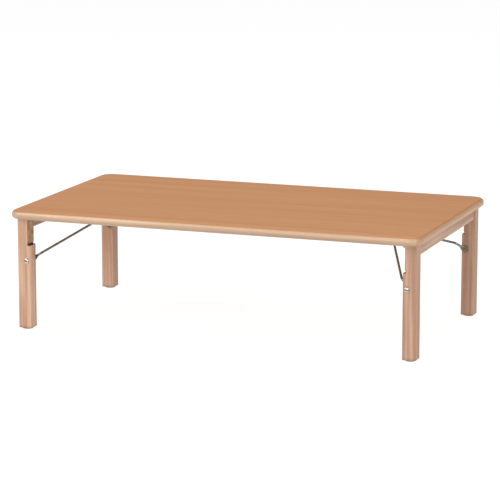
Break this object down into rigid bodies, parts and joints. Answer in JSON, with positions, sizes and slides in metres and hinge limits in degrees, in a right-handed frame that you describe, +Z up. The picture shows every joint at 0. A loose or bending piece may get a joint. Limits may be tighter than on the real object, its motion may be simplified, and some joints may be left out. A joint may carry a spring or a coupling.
{
  "type": "folding low table",
  "caption": "Low rectangular children's table with a wood-grain top, rounded solid wood edges and square wooden legs that fold flat under the top on hinges with bent wire stays.",
  "frame": {"origin": "on the floor under the middle of the table", "axes": "+X along the length, +Y across the width to the back, +Z up, as the table stands"},
  "size_m": [1.05, 0.6, 0.3],
  "materials": {
    "top_decor": "satin wood-grain",
    "under_decor": "matte",
    "core_wood": "raw",
    "edge_wood": "satin lacquer",
    "leg_wood": "satin lacquer",
    "dowel_wood": "raw",
    "zinc_steel": "zinc plated",
    "bright_steel": "nickel plated",
    "wire_steel": "nickel plated wire",
    "white_nylon": "moulded nylon",
    "foot_plastic": "moulded"
  },
  "bodies": {
    "table_top": {"core_board": "core_wood", "face_sheet": "top_decor", "under_sheet": "under_decor", "front_lipping": "edge_wood", "back_lipping": "edge_wood", "left_lipping": "edge_wood", "right_lipping": "edge_wood", "right_back_hinge_top_leaf": "zinc_steel", "right_back_hinge_pin": "zinc_steel", "right_front_hinge_top_leaf": "zinc_steel", "right_front_hinge_pin": "zinc_steel", "right_hinge_top_screws": "zinc_steel", "right_stay_catch": "white_nylon", "right_catch_screws": "zinc_steel", "right_storage_clip": "white_nylon", "right_clip_screws": "zinc_steel", "left_back_hinge_top_leaf": "zinc_steel", "left_back_hinge_pin": "zinc_steel", "left_front_hinge_top_leaf": "zinc_steel", "left_front_hinge_pin": "zinc_steel", "left_hinge_top_screws": "zinc_steel", "left_stay_catch": "white_nylon", "left_catch_screws": "zinc_steel", "left_storage_clip": "white_nylon", "left_clip_screws": "zinc_steel"},
    "right_leg_frame": {"right_back_leg": "leg_wood", "right_back_hinge_leg_leaf": "zinc_steel", "right_back_foot_glide": "foot_plastic", "right_front_leg": "leg_wood", "right_front_hinge_leg_leaf": "zinc_steel", "right_front_foot_glide": "foot_plastic", "right_apron": "leg_wood", "right_apron_dowels": "dowel_wood", "right_hinge_leg_screws": "zinc_steel", "right_stay_bolts": "bright_steel", "right_stay_washers": "bright_steel", "right_stay_nuts": "bright_steel", "right_glide_nails": "zinc_steel"},
    "right_stay": {"right_stay_wire": "wire_steel"},
    "left_leg_frame": {"left_back_leg": "leg_wood", "left_back_hinge_leg_leaf": "zinc_steel", "left_back_foot_glide": "foot_plastic", "left_front_leg": "leg_wood", "left_front_hinge_leg_leaf": "zinc_steel", "left_front_foot_glide": "foot_plastic", "left_apron": "leg_wood", "left_apron_dowels": "dowel_wood", "left_hinge_leg_screws": "zinc_steel", "left_stay_bolts": "bright_steel", "left_stay_washers": "bright_steel", "left_stay_nuts": "bright_steel", "left_glide_nails": "zinc_steel"},
    "left_stay": {"left_stay_wire": "wire_steel"}
  },
  "joints": [
    {"name": "right_leg_fold", "type": "hinge", "parent": "table_top", "child": "right_leg_frame", "pos_m": [0.48, 0, 0.275], "axis": [0, 1, 0], "range_deg": [0, 90]},
    {"name": "right_stay_swing", "type": "hinge", "parent": "right_leg_frame", "child": "right_stay", "pos_m": [0.487, 0, 0.1725], "axis": [0, -1, 0], "range_deg": [0, 129]},
    {"name": "left_leg_fold", "type": "hinge", "parent": "table_top", "child": "left_leg_frame", "pos_m": [-0.48, 0, 0.275], "axis": [0, -1, 0], "range_deg": [0, 90]},
    {"name": "left_stay_swing", "type": "hinge", "parent": "left_leg_frame", "child": "left_stay", "pos_m": [-0.487, 0, 0.1725], "axis": [0, 1, 0], "range_deg": [0, 129]}
  ],
  "couplings": [
    {"joint": "right_stay_swing", "follows": "right_leg_fold", "ratio": 1.4313},
    {"joint": "left_stay_swing", "follows": "left_leg_fold", "ratio": 1.4313}
  ]
}
